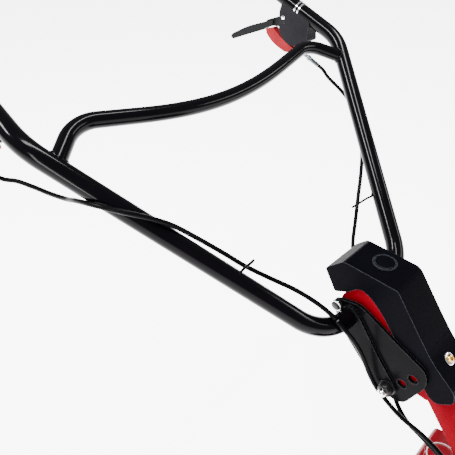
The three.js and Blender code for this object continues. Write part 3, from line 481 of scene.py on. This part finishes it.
# weld beads where the crossbar meets the legs
for hand, side in SIDES:
    leg_point = on_leg(side * leg_x(JOINT_RUN), JOINT_RUN)
    leg_way = (on_leg(side * leg_x(100), 100) - on_leg(side * leg_x(0), 0)).normalized()
    inner = cross_route[6] if side < 0 else cross_route[-7]
    cross_way = (inner - leg_point).normalized()
    over = cross_way.cross(leg_way).normalized()
    beside = over.cross(cross_way)
    bead = []
    for k in range(40):
        angle = 2 * math.pi * k / 40
        rim = leg_point + (over * math.cos(angle) + beside * math.sin(angle)) * (CROSS_RADIUS + 0.4)
        offset = rim - leg_point
        flat_offset = offset - leg_way * offset.dot(leg_way)
        flat_way = cross_way - leg_way * cross_way.dot(leg_way)
        a, b = flat_way.length_squared, flat_offset.dot(flat_way)
        c = flat_offset.length_squared - (TUBE_RADIUS + 0.2) ** 2
        bead.append(rim + cross_way * ((-b + math.sqrt(max(0.0, b * b - a * c))) / a))
    piece(f"weld_bead_{hand}", *tube(bead, 2.0, 10, closed=True), "handlebar", GLOSS_BLACK)

# grips, clamp bands, lever pivots and lever roots
LEVER_PIN, RIVET_SPOT, HOUSING_HALF = (125.3, -27), (119.2, -35), 15
GRIP_RIBS, FIRST_RIB, RIB_PITCH = 30, 190, 4.2
for hand, side in SIDES:
    centre = on_grip(side * TOP_X, 0)
    profile = [(180, 13.9), (180, 20.2), (181.5, 21.0), (184, 20.6), (188, 17.6)]
    for k in range(GRIP_RIBS):
        u = FIRST_RIB + k * RIB_PITCH
        profile += [(u, 17.0), (u + 0.7, 16.0), (u + 2.2, 16.0), (u + 2.9, 17.0)]
    profile += [(321, 16.9), (324, 15.6), (326, 12.5), (326, 6.0), (325, 0.0)]
    piece(f"ribbed_grip_{hand}", *turned(profile, centre, GRIP_ALONG, 56), "handlebar", RUBBER,
        [f"grip_{hand}"])
    bands = [
        turned([(u - 1.7, 13.9), (u - 1.7, 15.0), (u + 1.7, 15.0), (u + 1.7, 13.9), (u - 1.7, 13.9)], centre,
               GRIP_ALONG, 40)
        for u in (99, 107)
    ]
    piece(f"clamp_bands_{hand}", *join_parts(*bands), "handlebar", CHROME)
    for face_side in (-1, 1):
        way = Vector((face_side, 0, 0))
        tag = f"{hand}_{'inner' if face_side * side < 0 else 'outer'}"
        spot = on_grip(side * TOP_X + face_side * HOUSING_HALF, *LEVER_PIN)
        head = turned([(0, 0.0), (0, 4.2), (1.6, 4.0), (2.6, 2.4), (2.8, 0.0)], spot, way, 28)
        piece(f"lever_pivot_screw_{tag}", *head, "handlebar", CHROME)
        spot = on_grip(side * TOP_X + face_side * HOUSING_HALF, *RIVET_SPOT)
        rivet = turned([(-1, 0.0), (-1, 2.8), (0.5, 2.8), (0.5, 1.8), (-0.3, 1.8), (-0.3, 0.0)], spot, way,
            20)
        piece(f"housing_rivet_{tag}", *rivet, "handlebar", KNOB_BLACK)

    web = [(124, -40), (132, -34), (152, -50), (168, -65), (166, -73), (163.5, -74), (149, -62.5), (134, -55)]
    places = [on_grip(0, u, v) for u, v in web]
    x = side * TOP_X
    piece(f"lever_root_web_{hand}", *slab([(p.y, p.z) for p in places], x - 4.2, x + 4.2), f"lever_{hand}",
          LEVER_BLACK, edge=0.8)

# cable adjusters: threaded barrel, nut and slim ferrule
for hand, centre, way, slim in (
    ("left", on_grip(TOP_X, 35, -70.8), GRIP_ALONG, 38.0),
    ("right", on_grip(-TOP_X - 10, 70, -83), GRIP_UP, 22.0),
):
    thread = [(-22.8, 0.0), (-22.8, 3.4)]
    for k in range(12):
        thread += [(-21.6 + k * 1.4, 4.2), (-20.9 + k * 1.4, 3.6)]
    thread += [(-4, 4.4), (1, 4.4), (1, 3.0), (12, 3.0), (12, 3.6), (17, 3.6), (18, 2.6), (slim, 2.4),
        (slim, 0.0)]
    parts = join_parts(turned(thread, centre, way, 24), hexagon(5.2, 2, 9, centre, way))
    piece(f"threaded_adjuster_{hand}", *parts, "handlebar", ZINC, [f"cable_adjuster_{hand}"])

# ---------------------------------------------------------------- clutch cables
CABLE_ROUTES = {
    "clutch_cable_right_upper": ("handlebar", [
        (-333.1, 775.6, 858.9), (-332.3, 778, 852), (-326, 773, 846), (-315, 755, 846), (-304, 727, 844),
        (-297, 692, 846), (-292, 654, 853), (-293, 617, 868), (-286.5, 579, 876), (-265, 549.5, 870),
        (-239, 536, 855),
        (-219, 524, 841), (-190, 507, 812), (-162, 486, 782), (-144, 468, 762), (-125, 442, 746),
        (-104, 405, 731),
        (-92, 375, 718), (-86, 353, 706.5), (-85.6, 347.5, 703.2)]),
    "clutch_cable_right_lower": ("frame", [
        (-85.3, 344.6, 701.1), (-82, 331, 690), (-72, 317, 666), (-62, 306, 638), (-56, 288, 601),
        (-54, 273, 583),
        (-50, 233, 556), (-45, 195, 543), (-42, 160, 522), (-41, 110, 458), (-41, 50, 380), (-42, 0, 318),
        (-44, -40, 262), (-52, -60, 222), (-55, -64, 206), (-56, -65, 189)]),
    "clutch_cable_left_upper": ("handlebar", [
        (323.1, 706.9, 872.6), (322.4, 697, 869), (310, 672, 861), (290, 624, 851), (274, 590, 840),
        (254, 558, 820),
        (232, 533, 800), (212, 513, 783), (181, 491, 759), (149, 471, 734), (127, 456, 706), (115, 447, 674),
        (109, 440, 656)]),
    "clutch_cable_left_lower": ("frame", [
        (100, 431, 648), (92, 414, 638), (76, 388, 630), (52, 350, 622), (24, 312, 603), (-8, 280, 580),
        (-32, 252, 560), (-42, 226, 546), (-43.5, 195, 535.5), (-37, 155, 508), (-36, 110, 450),
        (-36, 50, 372),
        (-36.5, 0, 306), (-38, -45, 250), (-40, -62, 222), (-42, -66, 206), (-42, -66, 189)]),
}
CABLE_RADIUS = 3.4
for name, (body, points) in CABLE_ROUTES.items():
    piece(f"{name}_sheath", *tube(spline(points), CABLE_RADIUS, 20), body, CABLE_BLACK, [name])

# ---------------------------------------------------------------- lock knob, bolts and collars
HOLE_CIRCLE, LOCK_DEGREES, HOLE_STEP_DEGREES = 119, 225.8, 12
OUTER = 48.6


def height_hole(steps):
    """The middle of the hole that many steps above the locked one, on the machine's middle plane."""
    angle = math.radians(LOCK_DEGREES - HOLE_STEP_DEGREES * steps)
    return Vector((0, PIVOT_Y + HOLE_CIRCLE * math.cos(angle), PIVOT_Z + HOLE_CIRCLE * math.sin(angle)))


for hand, side in SIDES:
    centre, way = height_hole(0), Vector((side, 0, 0))
    washer = turned([(OUTER, 0.0), (OUTER, 12.5), (OUTER + 1.6, 12.5), (OUTER + 1.6, 0.0)], centre, way, 48)
    shank = turned([(43.7, 0.0), (43.7, 3.9), (OUTER + 2, 3.9), (OUTER + 2, 0.0)], centre, way, 24)
    if side < 0:
        body_profile = [(OUTER + 2, 0.0), (OUTER + 2, 9.6), (OUTER + 3, 10.6), (OUTER + 9, 10.6),
            (OUTER + 11, 9.2),
                        (OUTER + 12, 7.4), (OUTER + 12, 0.0)]
        knob = join_parts(washer, shank, turned(body_profile, centre, way, 48))
        piece("lock_knob_body", *knob, "knob", KNOB_BLACK, ["lock_knob"])
        dome = [(OUTER + 12, 6.8), (OUTER + 15, 6.8), (OUTER + 17.5, 6.0), (OUTER + 19.6, 4.2),
            (OUTER + 20.8, 0.0)]
        piece("lock_knob_dome_nut", *turned([(OUTER + 12, 0.0), *dome], centre, way, 40), "knob", CHROME)
    else:
        head = join_parts(washer, shank, hexagon(8.0, OUTER + 1.6, OUTER + 9, centre, way))
        piece("left_lock_bolt", *head, "handlebar", STEEL, ["lock_bolt_left"], edge=0.4)

# head tie bolt, with bright rims on its domed ends
TIE = Vector((0, 367.5, 691))
tie_profile = [(-55, 0.0), (-55, 5.6), (-53.6, 7.6), (-52, 8.4), (-48.9, 8.4), (-48.9, 3.2), (48.9, 3.2),
               (48.9, 8.4), (52, 8.4), (53.6, 7.6), (55, 5.6), (55, 0.0)]
piece("domed_tie_bolt", *turned(tie_profile, TIE, X_AXIS, 48), "frame", KNOB_BLACK, ["head_tie_bolt"])
rings = [
    turned([(side * 52.2, 8.2), (side * 52.8, 8.9), (side * 53.8, 8.4), (side * 54.0, 7.4),
    (side * 52.2, 8.2)], TIE,
           X_AXIS, 48)
    for _, side in SIDES
]
piece("tie_bolt_rings", *join_parts(*rings), "frame", CHROME)

# raised collars round the height holes
for hand, side in SIDES:
    collar = [(43.0, 7.0), (44.0, 7.0), (44.4, 7.5), (44.4, 8.2), (44.0, 8.8), (43.0, 8.8), (43.0, 7.0)]
    rings = [turned(collar, height_hole(steps), (side, 0, 0), 40) for steps in (1, 2)]
    piece(f"height_hole_collars_{hand}", *join_parts(*rings), "frame", PLATE_BLACK)

# red cheeks of the column's head, behind the height holes
for hand, side in SIDES:
    outline = [(330, 694), (290, 680), (236, 655), (227, 640), (238, 592), (258, 580), (292, 614), (330, 652)]
    piece(f"head_cheek_{hand}", *slab(outline, side * 33.6, side * 37.6), "frame", RED_PAINT, edge=0.5)

# wire hooks that hold the cables to the legs
for hand, points in (
    ("right", [(-180, 451, 769), (-172, 450, 777), (-168, 449.5, 780), (-163, 448, 784), (-157, 446, 787.5),
               (-151, 444, 792)]),
    ("left", [(158, 451, 752), (151, 448, 750), (145, 450, 749), (134, 454, 745), (127, 457.5, 741), (117,
    462, 736)]),
):
    piece(f"cable_hook_{hand}", *tube(spline(points), 1.9, 14), "handlebar", CABLE_BLACK)

# ---------------------------------------------------------------- cover details
cap_profile = [(0, 0.0), (0, 17.4), (1.1, 17.4), (1.6, 16.9), (1.6, 15.9), (0.9, 15.4), (1.0, 14.6),
    (2.2, 13.8),
               (2.8, 9.0), (3.0, 0.0)]
piece("round_cover_cap", *turned(cap_profile, (0, 335, 762.1), Z_AXIS, 64), "frame", COVER_BLACK,
    ["cover_cap"])
SCREW, SCREW_WAY = Vector((-8.5, 212.2, 672.7)), Vector((0, -0.6129, 0.7902))
dish = [(0, 0.0), (0, 8.6), (1.0, 8.6), (1.6, 7.8), (1.6, 5.0), (1.2, 4.4), (1.2, 0.0)]
piece("screw_washer", *turned(dish, SCREW, SCREW_WAY, 40), "frame", CHROME, ["cover_screw"])
head = [(1.2, 0.0), (1.2, 5.4), (3.6, 5.2), (5.2, 3.8), (5.5, 2.2), (4.0, 1.8), (4.0, 0.0)]
piece("screw_head", *turned(head, SCREW, SCREW_WAY, 32), "frame", BRASS)

# ---------------------------------------------------------------- fuel cap
FILLER, CAP_RIBS = Vector((42, 168, 392)), 18
cap = [(-0.6, 19.6), (-0.6, 26.0), (0.6, 27.2), (4, 27.4), (7, 26.6), (10, 24.2), (12.4, 20.6), (14.2, 15.4),
       (15.4, 8.4), (15.9, 0.0)]
parts = [turned(cap, FILLER, Z_AXIS, 64)]
for k in range(CAP_RIBS):
    turn = Matrix.Translation(FILLER) @ Matrix.Rotation(2 * math.pi * k / CAP_RIBS, 4, "Z")
    parts.append(moved(block(26.4, 28.3, -1.7, 1.7, -0.4, 6.4), turn))
piece("domed_fuel_cap", *join_parts(*parts), "tank_cap", RED_PLASTIC, ["fuel_cap"])
# a pale ring along the cap's rim: a painted highlight
rim = [(8.2, 25.6), (9.0, 26.0), (10.0, 25.0), (9.8, 23.8), (8.2, 25.6)]
piece("fuel_cap_painted_highlight_ring", *turned(rim, FILLER, Z_AXIS, 64), "tank_cap", PALE_CERAMIC_AND_RIM_HIGHLIGHT)

# ---------------------------------------------------------------- rollers, reel and chassis fittings
REEL = Vector((0, -175, 98))
REAR = Vector((0, 95, 80))
FRONT = Vector((0, -290, 35))
CRANK = Vector((0, 85, 288))
for hand, side in SIDES:
    rows = [(6, 74), (6, 78.6), (7.4, 80)]
    for k in range(12):
        x = 18 + k * 16
        rows += [(x, 80), (x + 0.8, 79.2), (x + 2.4, 79.2), (x + 3.2, 80)]
    rows += [(208, 80), (211, 77), (211, 10.3), (205, 10.3), (205, 73), (100, 73.6), (6, 74)]
    piece(f"turned_rear_roller_{hand}", *turned(rows, REAR, (side, 0, 0), 96), f"roller_{hand}", ALLOY,
          [f"rear_roller_{hand}"])
rows = [(-240, 0.0), (-240, 7), (-218, 7), (-218, 32), (-215, 35)]
for k in range(13):
    x = -192 + k * 32
    rows += [(x - 6, 35), (x - 4, 31.5), (x + 4, 31.5), (x + 6, 35)]
rows += [(215, 35), (218, 32), (218, 7), (240, 7), (240, 0.0)]
piece("grooved_front_roller", *turned(rows, FRONT, X_AXIS, 72), "front_roll", ALLOY, ["front_roller"])

parts = []
TWIST, BLADES, BLADE_STEPS, REEL_LENGTH = math.radians(62), 5, 60, 432
for b in range(BLADES):
    vertices, faces = [], []
    for i in range(BLADE_STEPS + 1):
        x = -REEL_LENGTH / 2 + REEL_LENGTH * i / BLADE_STEPS
        angle = -TWIST * x / REEL_LENGTH + 2 * math.pi * b / BLADES
        turn = Matrix.Rotation(-angle, 3, "X")
        for y, z in ((-2.4, 65), (2.4, 65), (2.4, 41.5), (-2.4, 41.5)):
            vertices.append(turn @ Vector((0, y, z)) + Vector((x, 0, 0)) + REEL)
    for i in range(BLADE_STEPS):
        for k in range(4):
            faces.append([i * 4 + k, i * 4 + (k + 1) % 4, i * 4 + 4 + (k + 1) % 4, i * 4 + 4 + k])
    faces += [[i * 4 + k for k in range(4)] for i in (0, BLADE_STEPS)]
    parts.append((vertices, faces))
for x in (-210, 0, 210):
    spider = [(x - 2.5, 12.4), (x - 2.5, 49), (x - 1.5, 50), (x + 1.5, 50), (x + 2.5, 49), (x + 2.5, 12.4),
              (x - 2.5, 12.4)]
    parts.append(turned(spider, REEL, X_AXIS, 64))
    hub = [(x - 11, 12.2), (x - 11, 18), (x + 11, 18), (x + 11, 12.2), (x - 11, 12.2)]
    parts.append(turned(hub, REEL, X_AXIS, 40))
piece("helical_reel", *join_parts(*parts), "reel", REEL_STEEL, ["reel_cage"])

# bolts on the side plates, and bearing flanges where the belt cover does not hide them
PLATE_FACE = 230
PLATE_BOLTS = {
    "left": [(-250, 166)],
    "right": [(-240, 100), (-205, 190), (-95, 190), (20, 178), (120, 178), (150, 120)],
}
for hand, side in SIDES:
    way = Vector((side, 0, 0))
    parts = [bolt((side * PLATE_FACE, y, z), way, 5.5, 4.0) for y, z in PLATE_BOLTS[hand]]
    if side < 0:
        for centre, size in ((REEL, 30), (REAR, 26)):
            flange = [(0, 12.5), (0, size), (2.5, size), (4, size - 1.5), (4, 17), (8, 16), (9.4, 14.6),
                      (9.4, 12.5), (0, 12.5)]
            parts.append(turned(flange, centre + way * PLATE_FACE, way, 48))
    piece(f"plate_fasteners_{hand}", *join_parts(*parts), "frame", STEEL)

# belt cover: ribs and screws
parts = []
for y, z in ((-218, 60), (-205, 160), (-60, 40), (120, 36), (140, 300), (50, 325), (-60, 235)):
    parts.append(turned([(290, 0.0), (290, 6.5), (293, 6.2), (295, 4.6), (295, 0.0)], (0, y, z), X_AXIS, 28))
piece("belt_cover_screws", *join_parts(*parts), "frame", STEEL)
parts = []
for k in range(7):
    start, end = Vector((0, -200 + k * 30, 74 + k * 4)), Vector((0, -150 + k * 34, 120 + k * 22))
    way = (end - start).normalized()
    parts.append(tube([start + X_AXIS * 291.5 + way * (t * (end - start).length) for t in (0, 0.1, 0.5, 0.9,
        1)],
                      lambda t: 2.6 if 0.05 < t < 0.95 else 0.8, 12))
piece("belt_cover_ribs", *join_parts(*parts), "frame", SHROUD_BLACK)

# engine: spark plug with lead, head bolts, oil filler, starter fittings, muffler and air cleaner details
PLUG = Vector((0, 0, 284))
plug = [(206, 0.0), (206, 9), (209, 9), (211, 6.5), (226, 5.5), (230, 3), (230, 0.0)]
piece("spark_plug", *turned(plug, PLUG, Y_AXIS, 24), "frame", PALE_CERAMIC_AND_RIM_HIGHLIGHT)
boot = [(218, 6.0), (218, 8.2), (232, 8.2), (236, 6.5), (237, 0.0)]
piece("plug_boot", *turned(boot, PLUG, Y_AXIS, 28), "frame", RUBBER)
piece("plug_lead", *tube(spline([(0, 232, 284), (0, 240, 290), (-20, 242, 306), (-60, 226, 330), (-84, 190,
    342),
                                  (-94, 160, 330)]), 3.0, 16), "frame", RUBBER)
parts = [bolt((x, 206, z), Y_AXIS, 5.0, 4.0) for x in (-24, 24) for z in (258, 310)]
piece("head_bolts", *join_parts(*parts), "frame", STEEL)
oil_cap = [(189, 0.0), (189, 15), (204, 15), (204, 12), (207, 12), (207, 0.0)]
piece("oil_filler", *turned(oil_cap, (-62, 16, 0), Z_AXIS, 32), "frame", KNOB_BLACK)
parts = [turned([(-179.5, 0.0), (-179, 22), (-177, 24), (-175.5, 24), (-175.5, 0.0)], CRANK, X_AXIS, 56)]
for k in range(3):
    turn = 2 * math.pi * (k + 0.2) / 3
    centre = CRANK + Vector((0, math.cos(turn) * 81, math.sin(turn) * 81))
    parts.append(bolt(centre + Vector((-151.5, 0, 0)), (-1, 0, 0), 5.0, 3.5))
piece("starter_fittings", *join_parts(*parts), "frame", KNOB_BLACK)
piece("muffler_louvres", *join_parts(*[
    tube([(58 + k * 9, 202.6, 214), (58 + k * 9, 204, 218), (58 + k * 9, 204, 238), (58 + k * 9, 202.6, 243)],
    2.2, 12)
    for k in range(5)]), "frame", MUFFLER_STEEL)
piece("air_cleaner_knob", *turned([(208, 0.0), (208, 9), (214, 9.4), (218, 8), (219, 0.0)], (-70, 0, 290),
    Y_AXIS, 32),
      "frame", KNOB_BLACK)

# the thin bent wire between the column and the tank
wire_route = spline([(-6, 60, 452), (6, 84, 440), (14, 104, 424), (18, 120, 404), (22, 130, 392)])
piece("choke_wire", *tube(wire_route, 1.1, 10), "frame", CABLE_BLACK)

# the starter's rope, from its eyelet to the handle
rope_way = Vector((0, -0.7071, 0.7071))
rope_start, rope_end = Vector((-158, 6, 296)), Vector((-161, -7, 308))
rope_points = [rope_start.lerp(rope_end, k / 24) for k in range(25)]
rope = piece("starter_rope", *tube(rope_points, 1.8, 12), None, RUBBER)
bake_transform(rope)
piece("rope_eyelet", *turned([(-3, 2.6), (-3, 6), (0, 7), (3, 6), (3, 2.6), (-3, 2.6)], rope_start, rope_way,
    32),
      "frame", STEEL)

# ---------------------------------------------------------------- camera, floor and light
CAMERA_AT, CAMERA_DOWN, CAMERA_HEADING, LENS_MM = (-501.0, 136.3, 1198.5), 37.26, -44.37, 37.26
FLOOR_HALF, FLOOR_GLOW, SKY_STRENGTH = 30.0, 5.5, 0.45

camera_data = bpy.data.cameras.new("camera")
camera_data.sensor_width = 36.0
camera_data.lens = LENS_MM
camera = bpy.data.objects.new("camera", camera_data)
camera.location = world(CAMERA_AT)
camera.rotation_euler = (math.radians(90 - CAMERA_DOWN), 0, math.radians(CAMERA_HEADING))
bpy.context.scene.collection.objects.link(camera)
bpy.context.scene.camera = camera

floor_mesh = bpy.data.meshes.new("floor")
floor_corners = [(x * FLOOR_HALF, y * FLOOR_HALF, 0) for x, y in ((-1, -1), (1, -1), (1, 1), (-1, 1))]
floor_mesh.from_pydata(floor_corners, [], [(0, 1, 2, 3)])
floor = bpy.data.objects.new("floor", floor_mesh)
bpy.context.scene.collection.objects.link(floor)
floor_finish = bpy.data.materials.new("floor_finish")
floor_finish.use_nodes = True
floor_shader = floor_finish.node_tree.nodes["Principled BSDF"]
floor_shader.inputs["Base Color"].default_value = (0.93, 0.93, 0.93, 1)
floor_shader.inputs["Roughness"].default_value = 0.9
floor_shader.inputs["Specular IOR Level"].default_value = 0.1
floor_shader.inputs["Emission Color"].default_value = (1, 1, 1, 1)
floor_shader.inputs["Emission Strength"].default_value = FLOOR_GLOW
floor_mesh.materials.append(floor_finish)

scene_world = bpy.data.worlds.new("studio")
bpy.context.scene.world = scene_world
scene_world.use_nodes = True
background = scene_world.node_tree.nodes["Background"]
background.inputs["Color"].default_value = (1, 1, 1, 1)
background.inputs["Strength"].default_value = SKY_STRENGTH


def area_light(name, place, target, size, power):
    data = bpy.data.lights.new(name, "AREA")
    data.shape = "RECTANGLE"
    data.size, data.size_y = size
    data.energy = power
    lamp = bpy.data.objects.new(name, data)
    lamp.location = place
    lamp.rotation_euler = (Vector(target) - Vector(place)).to_track_quat("-Z", "Y").to_euler()
    bpy.context.scene.collection.objects.link(lamp)


HEAD = (0, 0.15, 0.8)
area_light("key", (-1.6, 1.6, 3.2), HEAD, (1.6, 0.4), 260)
area_light("top", (0.4, 0.2, 3.6), HEAD, (0.3, 2.2), 170)
area_light("side", (-3.2, -1.0, 1.6), HEAD, (0.4, 2.4), 130)
area_light("back", (2.6, -1.8, 2.4), HEAD, (1.8, 0.4), 60)
